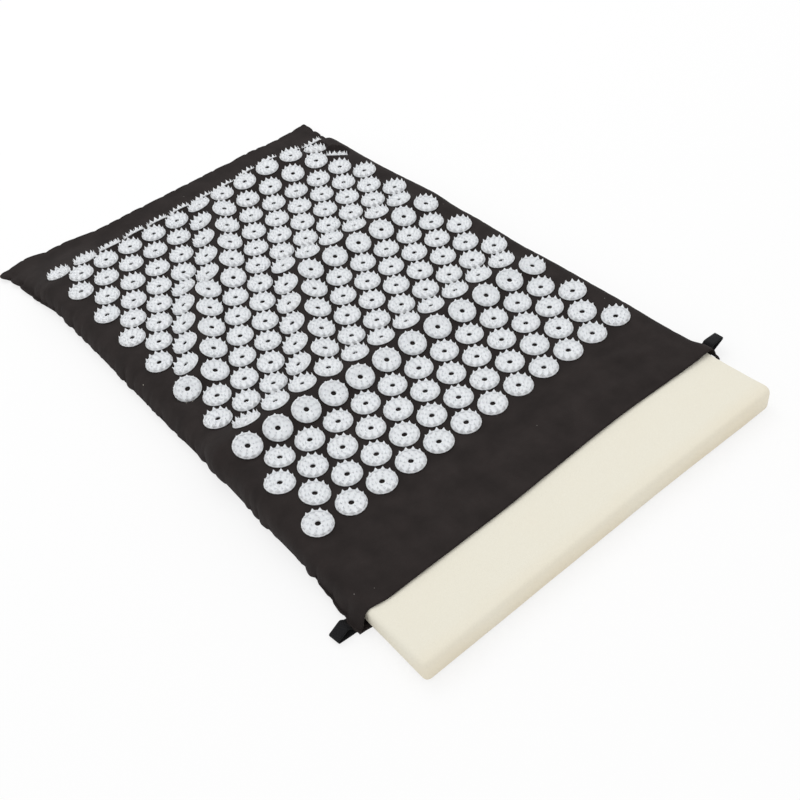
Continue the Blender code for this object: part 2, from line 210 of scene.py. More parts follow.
END_BOW = 0.007
END_BOW_REACH = 0.06

# The side seams are drawn in against the pad and off the floor between two fades
Draw = namedtuple("Draw", "inward rise start start_fade end end_fade")
SIDE_DRAWS = {
    -1: Draw(0.0054, 0.005, -0.312, 0.08, 0.31, 0.13),
    1: Draw(0.001, 0.002, -0.26, 0.13, 0.3, 0.13),
}
DRAW_START_X = PAD_HIGH.x + 0.0025

# Camera solved from the photographed disc grid and the cover's corners
CAMERA_PLACE = Vector((-0.3803, -0.7118, 0.6556))
CAMERA_TARGET = Vector((-0.0303, -0.1558, 0.012))
CAMERA_ROLL = math.radians(-10.1)
CAMERA_LENS = 46.24
CAMERA_SENSOR = 36.0

# Light: the even dome, the one lamp, and how much of the floor's look is plain white
WHITE = (1.0, 1.0, 1.0, 1.0)
DOME_LEVEL = 0.88
LAMP_PLACE = Vector((0.3, 1.0, 1.9))
LAMP_SIZE = 1.6
LAMP_POWER = 9.5
FLOOR_WHITE_SHARE = 0.75


def size_property(label, text, default):
    return bpy.props.FloatProperty(
        name=label, description=text, default=default, min=0.0001, unit="LENGTH"
    )


class MatSizes(bpy.types.PropertyGroup):
    """Sizes of the mat that can be changed without moving its pieces"""

    cloth_cell: size_property("Cloth Cell", "Size of one face of the top cloth", 0.0026)
    cloth_thickness: size_property("Cloth", "Thickness of the cotton", CLOTH_THICKNESS)
    pucker_height: size_property("Pucker", "Height of the gathers along the seams", 0.0014)
    welt_radius: size_property("Welt", "Radius of the turned seam", 0.0012)
    plate_thickness: size_property("Disc Plate", "Thickness of a disc under its spikes", 0.0016)
    spike_height: size_property("Spike", "Height of a spike over the plate", 0.0042)
    spike_radius: size_property("Spike Foot", "Radius of a spike's foot", 0.0016)
    hole_radius: size_property("Disc Hole", "Radius of the hole in a disc's middle", 0.0025)
    foam_edge: size_property("Foam Edge", "Radius of the pad's upper edge", FOAM_EDGE)
    foam_left_corner: size_property("Left Corner", "Radius of the pad's left corners", 0.005)
    foam_right_corner: size_property("Right Corner", "Radius of the pad's right corners", 0.009)
    webbing_thickness: size_property("Webbing", "Thickness of the loops' webbing", 0.001)


def colour_property(label, text, default):
    return bpy.props.FloatVectorProperty(
        name=label, description=text, default=default, subtype="COLOR", size=3, min=0.0, max=1.0
    )


class MatColours(bpy.types.PropertyGroup):
    """Colours of the mat's materials"""

    cloth: colour_property("Cloth", "Cotton of the cover", (0.0275, 0.0222, 0.0212))
    lint: colour_property("Lint", "Specks of lint on the cotton", (0.16, 0.15, 0.14))
    disc: colour_property("Disc", "Moulded spike discs", (0.82, 0.845, 0.875))
    foam: colour_property("Foam", "Cut foam, fresh", (0.84, 0.81, 0.7))
    # Foam tone used as painted shade on the pad's near end face and lower part, and for random
    # yellowed patches
    foam_shade_and_yellowed: colour_property("Foam Shade and Yellowed", "Foam tone painted as shade at the near end and foot, and in yellowed patches", (0.8, 0.7, 0.52))
    webbing: colour_property("Webbing", "Webbing of the loops", (0.008, 0.008, 0.009))
    tape: colour_property("Tape", "Hook and loop tape in the mouth", (0.02, 0.02, 0.022))
    floor: colour_property("Floor", "Plain floor", (0.95, 0.95, 0.95))


# Small helpers


def fade(value):
    """1 up to zero, 0 from one on, and a smooth step between."""
    t = min(max(value, 0.0), 1.0)
    return 1.0 - t * t * (3.0 - 2.0 * t)


def soft_noise(*place):
    """Smooth noise round zero; a place is divided by how long its waves are to be."""
    return noise.noise(Vector(place))


def placed(name, data):
    made = bpy.data.objects.new(name, data)
    bpy.context.scene.collection.objects.link(made)
    return made


def new_piece(name, mesh, material):
    mesh.materials.clear()
    mesh.materials.append(material)
    return placed(name, mesh)


def mesh_of(bm, name, smooth_angle=math.radians(40.0)):
    """The finished mesh of a bmesh, shaded smooth up to an angle."""
    mesh = bpy.data.meshes.new(name)
    bm.to_mesh(mesh)
    bm.free()
    mesh.shade_smooth()
    mesh.set_sharp_from_angle(angle=smooth_angle)
    return mesh


def give_thickness(piece, thickness, offset):
    wall = piece.modifiers.new("thickness", "SOLIDIFY")
    wall.thickness = thickness
    wall.offset = offset


def measured_grid(columns, rows, width, length):
    """A grid of quads with a UV map in metres, still flat and one unit across each way."""
    bm = bmesh.new()
    layer = bm.loops.layers.uv.new("cloth")
    bmesh.ops.create_grid(bm, x_segments=columns, y_segments=rows, size=0.5, calc_uvs=True)
    for face in bm.faces:
        for loop in face.loops:
            loop[layer].uv = (
                (loop.vert.co.x + 0.5) * width,
                (loop.vert.co.y + 0.5) * length,
            )
    return bm


# Cloth: its plain shape


def softened(points, reach):
    """An even polyline with each point moved to the mean of those within a reach of it."""
    count = round(reach / PROFILE_STEP)
    moved = []
    for i in range(len(points)):
        span = min(count, i, len(points) - 1 - i)
        near = points[i - span:i + span + 1]
        moved.append(tuple(sum(values) / len(near) for values in zip(*near)))
    return moved


def walked(corners):
    """Points a profile step apart along a polyline, then its last corner."""
    points = [corners[0]]
    left = PROFILE_STEP
    for start, end in zip(corners, corners[1:]):
        run = math.dist(start, end)
        while left <= run:
            share = left / run
            points.append(tuple(a + (b - a) * share for a, b in zip(start, end)))
            left += PROFILE_STEP
        left -= run
    points.append(corners[-1])
    return points


def side_profile():
    """(x, height) of the cloth's outer face from the middle of the mat to the side seam."""
    centre_z = CLOTH_TOP - SHOULDER_RADIUS
    seam_x = HALF_WIDTH - SEAM_FLAT
    run = seam_x - SHOULDER_X
    drop = SEAM_TOP - centre_z
    tangent = math.atan2(drop, run) + math.acos(SHOULDER_RADIUS / math.hypot(run, drop))
    corners = [(0.0, CLOTH_TOP)]
    for step in range(SHOULDER_STEPS + 1):
        angle = math.pi / 2 + (tangent - math.pi / 2) * step / SHOULDER_STEPS
        corners.append(
            (SHOULDER_X + SHOULDER_RADIUS * math.cos(angle),
             centre_z + SHOULDER_RADIUS * math.sin(angle))
        )
    corners += [(seam_x, SEAM_TOP), (HALF_WIDTH, SEAM_TOP)]
    return softened(walked(corners), SIDE_SOFTENING)


def end_profile():
    """(y, height) of the cloth's outer face from the mouth's edge to the closed seam."""
    drop = ROW_PITCH * math.sin(FALL_SLOPE)
    fold_y = TOP_EDGE_Y + FALL_START
    foot_y = fold_y + ROW_PITCH * math.cos(FALL_SLOPE)
    floor_y = foot_y + math.sqrt(ROW_PITCH ** 2 - (CLOTH_RISE - drop) ** 2)
    corners = [
        (TOP_EDGE_Y, CLOTH_TOP), (fold_y, CLOTH_TOP), (foot_y, CLOTH_TOP - drop),
        (floor_y, SEAM_TOP), (CLOSED_Y, SEAM_TOP),
    ]
    return softened(walked(corners), END_SOFTENING)


def corner_profile(count):
    """The same at the left corner, as many points long, where the cloth falls gently."""
    fold_y = TOP_EDGE_Y + FALL_START - CORNER_FALL_ADVANCE
    floor_y = fold_y + CLOTH_RISE / math.tan(CORNER_FALL_SLOPE)
    beyond = CLOSED_Y + ROW_PITCH
    corners = [
        (TOP_EDGE_Y, CLOTH_TOP), (fold_y, CLOTH_TOP), (floor_y, SEAM_TOP), (beyond, SEAM_TOP),
    ]
    return softened(walked(corners), END_SOFTENING)[:count]


SIDE_PROFILE = side_profile()
END_PROFILE = end_profile()
CORNER_PROFILE = corner_profile(len(END_PROFILE))
CLOTH_HALF = (len(SIDE_PROFILE) - 1) * PROFILE_STEP
CLOTH_LENGTH = (len(END_PROFILE) - 1) * PROFILE_STEP


def read_profile(profile, distance):
    place = min(max(distance / PROFILE_STEP, 0.0), len(profile) - 1.001)
    i = int(place)
    share = place - i
    return [a + (b - a) * share for a, b in zip(profile[i], profile[i + 1])]


def seam_draw(x, y):
    """How far the side seam is drawn in and up beside the pad."""
    side = -1 if x < 0.0 else 1
    draw = SIDE_DRAWS[side]
    along = fade((draw.start + draw.start_fade - y) / draw.start_fade)
    along *= fade((y - draw.end + draw.end_fade) / draw.end_fade)
    across = 1.0 - fade((abs(x) - DRAW_START_X) / (HALF_WIDTH - DRAW_START_X))
    return Vector((-side * draw.inward, 0.0, draw.rise)) * (along * across)


def outline_shift(x, y):
    """How far the sewn outline is pulled from its plain place."""
    shift = seam_draw(x, y)
    for pull in PULLS:
        weight = fade(math.hypot(x - pull.x, y - pull.y) / pull.reach)
        shift += Vector((pull.dx, pull.dy, pull.dz)) * weight
    bow = 1.0 - (x / HALF_WIDTH) ** 2
    shift.y += END_BOW * max(bow, 0.0) * fade((CLOSED_Y - y) / END_BOW_REACH)
    return shift


def plain_point(u, s):
    """Where the cloth would lie with no crease, gather or fold in it."""
    x, side_z = read_profile(SIDE_PROFILE, abs(u))
    y, end_z = read_profile(END_PROFILE, s)
    corner_y, corner_z = read_profile(CORNER_PROFILE, s)
    corner = fade((u + CLOTH_HALF - CORNER_WIDTH) / CORNER_BLEND)
    y += (corner_y - y) * corner
    end_z += (corner_z - end_z) * corner
    side_share = (side_z - SEAM_TOP) / CLOTH_RISE
    end_share = (end_z - SEAM_TOP) / CLOTH_RISE
    at_mouth = fade(s / MOUTH_BLEND)
    bow = MOUTH_BOW * fade(abs(u - MOUTH_BOW_X) / MOUTH_BOW_REACH) + MOUTH_BOW_ENDS
    y += at_mouth * (bow * side_share - MOUTH_RECESS * (1.0 - side_share))
    x = math.copysign(x, u)
    return Vector((x, y, SEAM_TOP + CLOTH_RISE * side_share * end_share)) + outline_shift(x, y)


def plain_normal(u, s):
    reach = PROFILE_STEP
    across = plain_point(u + reach, s) - plain_point(u - reach, s)
    along = plain_point(u, s + reach) - plain_point(u, s - reach)
    return across.cross(along).normalized()


# Cloth: what lifts it


def row_distance(row):
    return FIRST_ROW + row * ROW_PITCH


def run_measure(place, start, end):
    """(distance along, length, distance to the left) of a place by a straight run."""
    run = end - start
    way = run.normalized()
    offset = place - start
    return offset.dot(way), run.length, way.cross(offset)


def crease_height(place, crease):
    start = Vector((crease.start[0], row_distance(crease.start[1])))
    end = Vector((crease.end[0], row_distance(crease.end[1])))
    along, length, left = run_measure(place, start, end)
    reach = crease.left if left > 0.0 else crease.right
    tent = max(1.0 - abs(left) / reach, 0.0)
    tent += (tent * tent * (3.0 - 2.0 * tent) - tent) * CREASE_ROUNDING
    past = max(-along, along - length, 0.0)
    share = min(max(along / length, 0.0), 1.0)
    rise = crease.start_rise + (crease.end_rise - crease.start_rise) * share
    return rise * tent * fade(past / CREASE_END_FADE)


def slack_shift(place):
    """How far slack shifts the cloth at a place in its flat measure."""
    moved = Vector()
    for shift in SHIFTS:
        away_x = (place.x - shift.x) / shift.reach_x
        away_s = (place.y - row_distance(shift.row)) / (shift.reach_rows * ROW_PITCH)
        moved += Vector((shift.dx, shift.dy, shift.dz)) * fade(math.hypot(away_x, away_s))
    return moved


def fold_height(place, fold):
    along, length, left = run_measure(place, Vector(fold.start), Vector(fold.end))
    share = along / length
    if not 0.0 < share < 1.0:
        return 0.0
    return fold.height * math.sin(math.pi * share) * fade(abs(left) / fold.reach)


def pucker_wave(distance, seed):
    """Arcs along a seam, 1 at the middle of an arc and -1 in the notches between them."""
    place = distance / PUCKER_LENGTH + 0.8 * soft_noise(distance / 0.05, seed, 0.0)
    across = 2.0 * (place - math.floor(place)) - 1.0
    depth = 0.7 + 0.9 * soft_noise(distance / 0.04, seed, 5.0)
    fine = 0.35 * soft_noise(distance / 0.007, seed, 8.0)
    return depth * (1.0 - 2.0 * across ** 4) + fine


def seam_gather(u, s):
    """(height, sideways, endways) of the gathers of the side seams and the closed seam."""
    share = PUCKER_LEFT_SHARE if u < 0.0 else PUCKER_RIGHT_SHARE
    side = share * pucker_wave(s, math.copysign(3.0, u))
    side *= math.exp(-(CLOTH_HALF - abs(u)) / PUCKER_REACH)
    end = PUCKER_END_SHARE * pucker_wave(u + CLOTH_HALF, 11.0)
    end *= math.exp(-(CLOTH_LENGTH - s) / PUCKER_REACH)
    return side + end, side, end


def on_top_share(u, s):
    """1 where the cloth lies over the pad, 0 at the seam."""
    side_z = read_profile(SIDE_PROFILE, abs(u))[1]
    end_z = read_profile(END_PROFILE, s)[1]
    return ((side_z - SEAM_TOP) / CLOTH_RISE) * ((end_z - SEAM_TOP) / CLOTH_RISE)


def cloth_lift(u, s, pucker_height):
    """How far the cloth stands off its plain shape, along its normal."""
    place = Vector((u, s))
    on_top = on_top_share(u, s)
    slack = 1.0 - on_top
    powers = sum(crease_height(place, crease) ** 4 for crease in CREASES)
    height = on_top * powers ** 0.25
    height += sum(fold_height(place, fold) for fold in FOLDS)
    height += WRINKLE_HEIGHT * (0.5 + soft_noise(u / 0.05, s / 0.035, 2.0))
    height += slack * SLACK_WRINKLE_HEIGHT * (0.4 + soft_noise(u / 0.03, s / 0.03, 9.0))
    height -= MOUTH_DIP * fade(s / MOUTH_DIP_LENGTH) * on_top
    gather = seam_gather(u, s)[0]
    return height + pucker_height * (0.6 + gather) * max(slack, 0.15)


def loose_point(u, s, pucker_height):
    """Where the cloth lies before the discs flatten it."""
    _, side, end = seam_gather(u, s)
    point = plain_point(u, s) + plain_normal(u, s) * cloth_lift(u, s, pucker_height)
    point += slack_shift(Vector((u, s))) * on_top_share(u, s)
    point.x += math.copysign(PUCKER_SCALLOP, u) * side
    point.y += PUCKER_SCALLOP * end
    point.z = max(point.z, SEAM_TOP)
    return point


# Discs: where they sit


# Ring round a disc's middle on which the loose cloth is read: share of its radius, places
SEAT_RING_SHARE = 0.75
SEAT_RING_STEPS = 8

Seat = namedtuple("Seat", "u s middle across along normal")


def row_places(row):
    """How far across from the middle each disc of a row sits."""
    count = LONG_ROW - row % 2
    return [(i - (count - 1) / 2) * DISC_PITCH for i in range(count)]


def disc_seat(u, s, lean, rng, pucker_height):
    """The plane that a disc holds the cloth to, from the loose cloth round it."""
    reach = SEAT_RING_SHARE * DISC_RADIUS
    ring = []
    for step in range(SEAT_RING_STEPS):
        angle = 2.0 * math.pi * step / SEAT_RING_STEPS
        ring.append(
            loose_point(u + reach * math.cos(angle), s + reach * math.sin(angle), pucker_height)
        )
    middle = sum(ring, Vector()) / SEAT_RING_STEPS
    normal = Vector()
    for here, ahead in zip(ring, ring[1:] + ring[:1]):
        normal += (here - middle).cross(ahead - middle)
    jitter = Vector((rng.uniform(-1.0, 1.0), rng.uniform(-1.0, 1.0), 0.0)) * DISC_JITTER
    normal = (normal.normalized() + jitter).normalized()
    normal.rotate(Euler((math.radians(lean.about_x), math.radians(lean.about_y), 0.0)))
    middle.z += lean.lift
    across = (Vector((1.0, 0.0, 0.0)) - normal * normal.x).normalized()
    return Seat(u, s, middle, across, normal.cross(across), normal)


def disc_seats(pucker_height):
    rng = random.Random(23)
    upright = Lean(0.0, 0.0, 0.0)
    seats = {}
    for row in range(ROW_COUNT):
        for i, u in enumerate(row_places(row)):
            lean = LEANS.get((row, i), upright)
            seats[row, i] = disc_seat(u, row_distance(row), lean, rng, pucker_height)
    return seats


def seats_near(u, s, seats):
    middle = round((s - FIRST_ROW) / ROW_PITCH)
    for row in (middle - 1, middle, middle + 1):
        count = LONG_ROW - row % 2
        nearest = round(u / DISC_PITCH + (count - 1) / 2)
        for i in (nearest - 1, nearest, nearest + 1):
            if (row, i) in seats:
                yield seats[row, i]


def cloth_point(u, s, seats, pucker_height):
    """Where the cloth lies, held flat under the discs."""
    held = Vector()
    total = 0.0
    for seat in seats_near(u, s, seats):
        across = u - seat.u
        along = s - seat.s
        weight = fade((math.hypot(across, along) - DISC_RADIUS) / DISC_BLEND)
        held += (seat.middle + seat.across * across + seat.along * along) * weight
        total += weight
    if total == 0.0:
        return loose_point(u, s, pucker_height)
    share = min(total, 1.0)
    return loose_point(u, s, pucker_height) * (1.0 - share) + held * (share / total)


# Pieces


def top_cloth_mesh(sizes, seats):
    width = 2.0 * CLOTH_HALF
    columns = round(width / sizes.cloth_cell)
    rows = round(CLOTH_LENGTH / sizes.cloth_cell)
    bm = measured_grid(columns, rows, width, CLOTH_LENGTH)
    for vert in bm.verts:
        u = vert.co.x * width
        s = (vert.co.y + 0.5) * CLOTH_LENGTH
        vert.co = cloth_point(u, s, seats, sizes.pucker_height)
    return mesh_of(bm, "top_cloth")


def bottom_cloth_mesh(sizes):
    size = BOTTOM_HIGH - BOTTOM_LOW
    cell = 2.0 * sizes.cloth_cell
    bm = measured_grid(round(size.x / cell), round(size.y / cell), size.x, size.y)
    for vert in bm.verts:
        x = vert.co.x * size.x
        y = BOTTOM_LOW.y + (vert.co.y + 0.5) * size.y
        vert.co = Vector((x, y, BOTTOM_HIGH.z)) + outline_shift(x, y)
        vert.co.z = max(vert.co.z, BOTTOM_HIGH.z)
    return mesh_of(bm, "bottom_cloth")


def seam_path():
    """(u, s) along the sewn edge, from the left of the mouth round to the right."""
    edge = CLOTH_HALF - WELT_INSET
    end = CLOTH_LENGTH - WELT_INSET
    side = [i * WELT_STEP for i in range(int(end / WELT_STEP) + 1)]
    across = [-edge + i * WELT_STEP for i in range(1, int(2 * edge / WELT_STEP) + 1)]
    path = [(-edge, s) for s in side]
    path += [(u, end) for u in across]
    return path + [(edge, s) for s in reversed(side)]


def welt_mesh(sizes):
    """The turned edge where the two panels are sewn, as a tube along the seam."""
    curve = bpy.data.curves.new("welt", "CURVE")
    curve.dimensions = "3D"
    curve.bevel_depth = sizes.welt_radius
    curve.bevel_resolution = 2
    curve.use_fill_caps = True
    spline = curve.splines.new("POLY")
    path = seam_path()
    spline.points.add(len(path) - 1)
    for point, (u, s) in zip(spline.points, path):
        place = loose_point(u, s, sizes.pucker_height)
        place.z = max(place.z - sizes.cloth_thickness, sizes.welt_radius)
        point.co = (*place, 1.0)
    holder = placed("welt", curve)
    graph = bpy.context.evaluated_depsgraph_get()
    mesh = bpy.data.meshes.new_from_object(holder.evaluated_get(graph))
    bpy.data.objects.remove(holder)
    bm = bmesh.new()
    bm.from_mesh(mesh)
    bmesh.ops.remove_doubles(bm, verts=bm.verts, dist=0.00001)
    bmesh.ops.recalc_face_normals(bm, faces=bm.faces)
    bpy.data.meshes.remove(mesh)
    return mesh_of(bm, "seam_welt")


PLATE_STEPS = 22


def plate_profile(sizes):
    """(radius, height) round the section of a disc's plate, from the hole's foot outwards."""
    top = sizes.plate_thickness
    return [
        (sizes.hole_radius, 0.0), (DISC_RADIUS - 0.0004, 0.0), (DISC_RADIUS, 0.0004),
        (DISC_RADIUS - 0.0002, top * 0.75), (DISC_RADIUS - 0.001, top),
        (sizes.hole_radius + 0.0004, top * 0.9), (sizes.hole_radius, top * 0.6),
    ]


def add_plate(bm, sizes):
    """A turned ring with its section closed."""
    profile = plate_profile(sizes)
    verts = [bm.verts.new((radius, 0.0, height)) for radius, height in profile]
    edges = [bm.edges.new(pair) for pair in zip(verts, verts[1:] + verts[:1])]
    bmesh.ops.spin(
        bm, geom=verts + edges, cent=(0, 0, 0), axis=(0, 0, 1), angle=2 * math.pi,
        steps=PLATE_STEPS, use_merge=True, use_duplicate=False,
    )


# Rings of spikes: count, place as a share of the radius, width along the ring and across
# it as shares of the foot, height as a share of a spike's, and sides
SpikeRing = namedtuple("SpikeRing", "count share width_share depth_share height_share sides")
SPIKE_RINGS = (
    SpikeRing(12, 0.87, 1.9, 0.75, 1.0, 4),
    SpikeRing(9, 0.61, 0.8, 0.7, 0.9, 3),
    SpikeRing(6, 0.38, 0.65, 0.6, 0.75, 3),
)
SPIKE_WAIST_SHARE = 0.54
SPIKE_WAIST_HEIGHT_SHARE = 0.32
SPIKE_LEAN = math.radians(8.0)
SPIKE_SINK = 0.0002


def add_spike(bm, sizes, place, ring):
    """A flared spike: a wide foot that narrows fast and runs up to a point."""
    foot = sizes.spike_radius
    low = sizes.spike_height * SPIKE_WAIST_HEIGHT_SHARE + SPIKE_SINK
    made = bmesh.ops.create_cone(
        bm, cap_ends=True, segments=ring.sides, radius1=foot,
        radius2=foot * SPIKE_WAIST_SHARE, depth=low,
    )["verts"]
    bmesh.ops.translate(bm, vec=(0, 0, low / 2 - SPIKE_SINK), verts=made)
    faces = {face for vert in made for face in vert.link_faces}
    top = max(faces, key=lambda face: face.calc_center_median().z)
    tip = bmesh.ops.poke(bm, faces=[top])["verts"]
    tip[0].co.z = sizes.spike_height
    shares = (ring.depth_share, ring.width_share, ring.height_share)
    bmesh.ops.scale(bm, vec=shares, verts=made + tip)
    bmesh.ops.transform(bm, matrix=place, verts=made + tip)


def disc_template(sizes):
    """One disc at the origin: its plate with every spike, ready to be copied."""
    bm = bmesh.new()
    add_plate(bm, sizes)
    for ring in SPIKE_RINGS:
        for i in range(ring.count):
            turn = Matrix.Rotation(2.0 * math.pi * i / ring.count, 4, "Z")
            out = Matrix.Translation((ring.share * DISC_RADIUS, 0.0, sizes.plate_thickness * 0.95))
            lean = Matrix.Rotation(SPIKE_LEAN * ring.share, 4, "Y")
            add_spike(bm, sizes, turn @ out @ lean, ring)
    bmesh.ops.recalc_face_normals(bm, faces=bm.faces)
    mesh = bpy.data.meshes.new("disc_template")
    bm.to_mesh(mesh)
    bm.free()
    return mesh


def disc_row_mesh(row, template, seats, rng):
    bm = bmesh.new()
    for i in range(len(row_places(row))):
        seat = seats[row, i]
        first = len(bm.verts)
        bm.from_mesh(template)
        bm.verts.ensure_lookup_table()
        turned = Matrix((seat.across, seat.along, seat.normal)).transposed().to_4x4()
        spin = Matrix.Rotation(rng.uniform(0.0, 2.0 * math.pi), 4, "Z")
        place = Matrix.Translation(seat.middle + seat.normal * SEAT_GAP) @ turned @ spin
        bmesh.ops.transform(bm, matrix=place, verts=bm.verts[first:])
    return mesh_of(bm, f"spike_discs_row_{row:02d}", math.radians(50.0))


# Foam pad: its lower edge, its faces' size, how uneven they are, and how its near right
# corner is pushed out of square
FOAM_LOWER_EDGE = 0.0015
FOAM_CELL = 0.008
FOAM_UNEVENNESS = 0.00035
FOAM_SKEW = Vector((0.001, -0.0025, 0.0))


def round_off(bm, edges, radius, segments):
    bmesh.ops.bevel(
        bm, geom=edges, offset=radius, offset_type="OFFSET", segments=segments,
        profile=0.5, affect="EDGES", clamp_overlap=True, material=-1,
    )


def round_foam(bm, sizes):
    """Round the pad's upright corners first, then its upper and lower edges."""
    height = PAD_HIGH.z - PAD_LOW.z
    for side, radius in ((-1.0, sizes.foam_left_corner), (1.0, sizes.foam_right_corner)):
        upright = [
            edge for edge in bm.edges
            if edge.calc_length() < height * 1.01
            and all(abs(v.co.x - side * PAD_HIGH.x) < 1e-5 for v in edge.verts)
            and abs(edge.verts[0].co.z - edge.verts[1].co.z) > height * 0.9
        ]
        round_off(bm, upright, radius, 6)
    upper = [e for e in bm.edges if all(v.co.z > PAD_HIGH.z - 1e-5 for v in e.verts)]
    round_off(bm, upper, sizes.foam_edge, 7)
    lower = [e for e in bm.edges if all(v.co.z < PAD_LOW.z + 1e-5 for v in e.verts)]
    round_off(bm, lower, FOAM_LOWER_EDGE, 2)


def foam_mesh(sizes):
    """The pad: a block with rounded corners and edges, a little uneven as cut foam is."""
    size = PAD_HIGH - PAD_LOW
    middle = (PAD_HIGH + PAD_LOW) / 2
    bm = bmesh.new()
    bmesh.ops.create_cube(bm, size=1.0)
    bmesh.ops.scale(bm, vec=size, verts=bm.verts)
    bmesh.ops.translate(bm, vec=middle, verts=bm.verts)
    round_foam(bm, sizes)
    for axis in (0, 1):
        cuts = int(size[axis] / FOAM_CELL)
        normal = Vector()
        normal[axis] = 1.0
        for cut in range(1, cuts):
            place = Vector(middle)
            place[axis] = PAD_LOW[axis] + size[axis] * cut / cuts
            bmesh.ops.bisect_plane(
                bm, geom=bm.verts[:] + bm.edges[:] + bm.faces[:], plane_co=place, plane_no=normal
            )
    bmesh.ops.recalc_face_normals(bm, faces=bm.faces)
    bm.normal_update()
    shifts = []
    for vert in bm.verts:
        x, y, z = vert.co
        wave = soft_noise(x / 0.06, y / 0.06, z / 0.02)
        wave += 0.5 * soft_noise(x / 0.02, y / 0.02, z / 0.01)
        skew = FOAM_SKEW * fade((y - PAD_LOW.y) / 0.03)
        skew *= fade((PAD_HIGH.x - x) / 0.16)
        shifts.append(vert.normal * (FOAM_UNEVENNESS * (wave - 1.0)) + skew)
    for vert, shift in zip(bm.verts, shifts):
        vert.co += shift
    return mesh_of(bm, "foam_pad", math.radians(60.0))


# How each loop lies: its reach as a share of the plain one, how far it slants along the mat
# and rises as it reaches out, its lift at the seam, how far its lower leg spreads from the
# upper, and how far its near edge twists up and draws back at the tip
Lie = namedtuple("Lie", "stretch slant lift rise spread twist skew")
LOOP_LIES = {
    -1: Lie(1.0, -0.12, 0.0, 0.0, -0.003, 0.1, 0.1),
    1: Lie(1.23, 0.0, 0.003, 0.39, -0.001, 0.36, 0.35),
}
WEBBING_COLUMNS = 8
WEBBING_ROWS = 44


def webbing_path():
    """(reach, height) along the middle of a loop, out over its eye and back under it."""
    reach = LOOP_HIGH.x - LOOP_LOW.x
    height = LOOP_HIGH.z - LOOP_LOW.z
    base = (height - 0.001) / 2
    middle = LOOP_LOW.z + height / 2
    tip = 0.001
    tip_z = LOOP_LOW.z + 0.002
    root = 0.0014
    throat = 0.006
    turn = reach - 0.0005 - tip
    steps = 8
    points = [(0.0, root + 0.0007), (throat * 0.5, root + 0.0022), (throat, middle + base * 0.85)]
    for step in range(1, steps):
        share = step / steps
        bulge = base * (1.0 - share) + tip * share
        centre = middle + (tip_z - middle) * share
        points.append((throat + (turn - throat) * share, centre + bulge))
    for step in range(steps + 1):
        angle = math.pi / 2 - math.pi * step / steps
        points.append((turn + tip * math.cos(angle), tip_z + tip * math.sin(angle)))
    return points + [(throat, middle - base * 0.95), (0.0, root - 0.0006)]


def webbing_mesh(side, sizes):
    """A flat strip of webbing bent along the loop's path, its legs spread at the seam."""
    path = [Vector(point) for point in webbing_path()]
    lengths = [0.0]
    for here, ahead in zip(path, path[1:]):
        lengths.append(lengths[-1] + (ahead - here).length)
    width = LOOP_HIGH.y - LOOP_LOW.y
    middle_y = (LOOP_HIGH.y + LOOP_LOW.y) / 2
    reach = LOOP_HIGH.x - LOOP_LOW.x
    lie = LOOP_LIES[side]
    bm = measured_grid(WEBBING_COLUMNS, WEBBING_ROWS, width, lengths[-1])
    for vert in bm.verts:
        distance = (vert.co.y + 0.5) * lengths[-1]
        i = max(k for k in range(len(path) - 1) if lengths[k] <= distance + 1e-9)
        share = (distance - lengths[i]) / (lengths[i + 1] - lengths[i])
        place = path[i].lerp(path[i + 1], share)
        lower_share = max(2.0 * distance / lengths[-1] - 1.0, 0.0)
        across = vert.co.x * width
        twisted = across * place.x / reach
        x = LOOP_LOW.x + place.x * lie.stretch + lie.skew * twisted
        y = middle_y + across + lie.slant * place.x + lie.spread * lower_share
        z = place.y + lie.lift + lie.rise * place.x - lie.twist * twisted
        vert.co = Vector((side * x, y, z))
    if side > 0:
        bmesh.ops.reverse_faces(bm, faces=bm.faces)
    return mesh_of(bm, "webbing_loop")


# Materials


def plug(tree, made, sockets):
    """Give each named socket a number, a colour or another node's output."""
    for name, value in sockets.items():
        if isinstance(value, bpy.types.NodeSocket):
            tree.links.new(value, made.inputs[name])
        else:
            made.inputs[name].default_value = value


def node(tree, kind, sockets=None, **settings):
    made = tree.nodes.new(kind)
    for name, value in settings.items():
        setattr(made, name, value)
    plug(tree, made, sockets or {})
    return made


def calc(tree, operation, a, b=0.0, clamp=False):
    made = node(tree, "ShaderNodeMath", {0: a, 1: b}, operation=operation, use_clamp=clamp)
    return made.outputs[0]


def times(tree, a, b):
    return calc(tree, "MULTIPLY", a, b)


def blend(tree, share, first, second):
    """Two colours mixed by a share."""
    sockets = {0: share, 6: first, 7: second}
    return node(tree, "ShaderNodeMix", sockets, data_type="RGBA").outputs[2]


def noise_at(tree, vector, scale, detail=2.0, roughness=0.5):
    sockets = {"Vector": vector, "Scale": scale, "Detail": detail, "Roughness": roughness}
    return node(tree, "ShaderNodeTexNoise", sockets).outputs["Fac"]


def cells_at(tree, vector, scale):
    return node(tree, "ShaderNodeTexVoronoi", {"Vector": vector, "Scale": scale}).outputs


def spread(tree, value, low, high):
    """A value between 0 and 1, stretched from low to high."""
    sockets = {0: value, 1: 0.0, 2: 1.0, 3: low, 4: high}
    return node(tree, "ShaderNodeMapRange", sockets).outputs[0]


def above(tree, value, start, end):
    """0 below start, 1 above end."""
    sockets = {0: value, 1: start, 2: end, 3: 0.0, 4: 1.0}
    return node(tree, "ShaderNodeMapRange", sockets, clamp=True).outputs[0]


def bump(tree, height, distance, strength, normal=None):
    sockets = {"Height": height, "Distance": distance, "Strength": strength}
    if normal:
        sockets["Normal"] = normal
    return node(tree, "ShaderNodeBump", sockets).outputs["Normal"]


def finish(name, roughness):
    """A material with its tree and its shader."""
    made = bpy.data.materials.new(name)
    made.use_nodes = True
    shader = made.node_tree.nodes["Principled BSDF"]
    shader.inputs["Roughness"].default_value = roughness
    return made, made.node_tree, shader


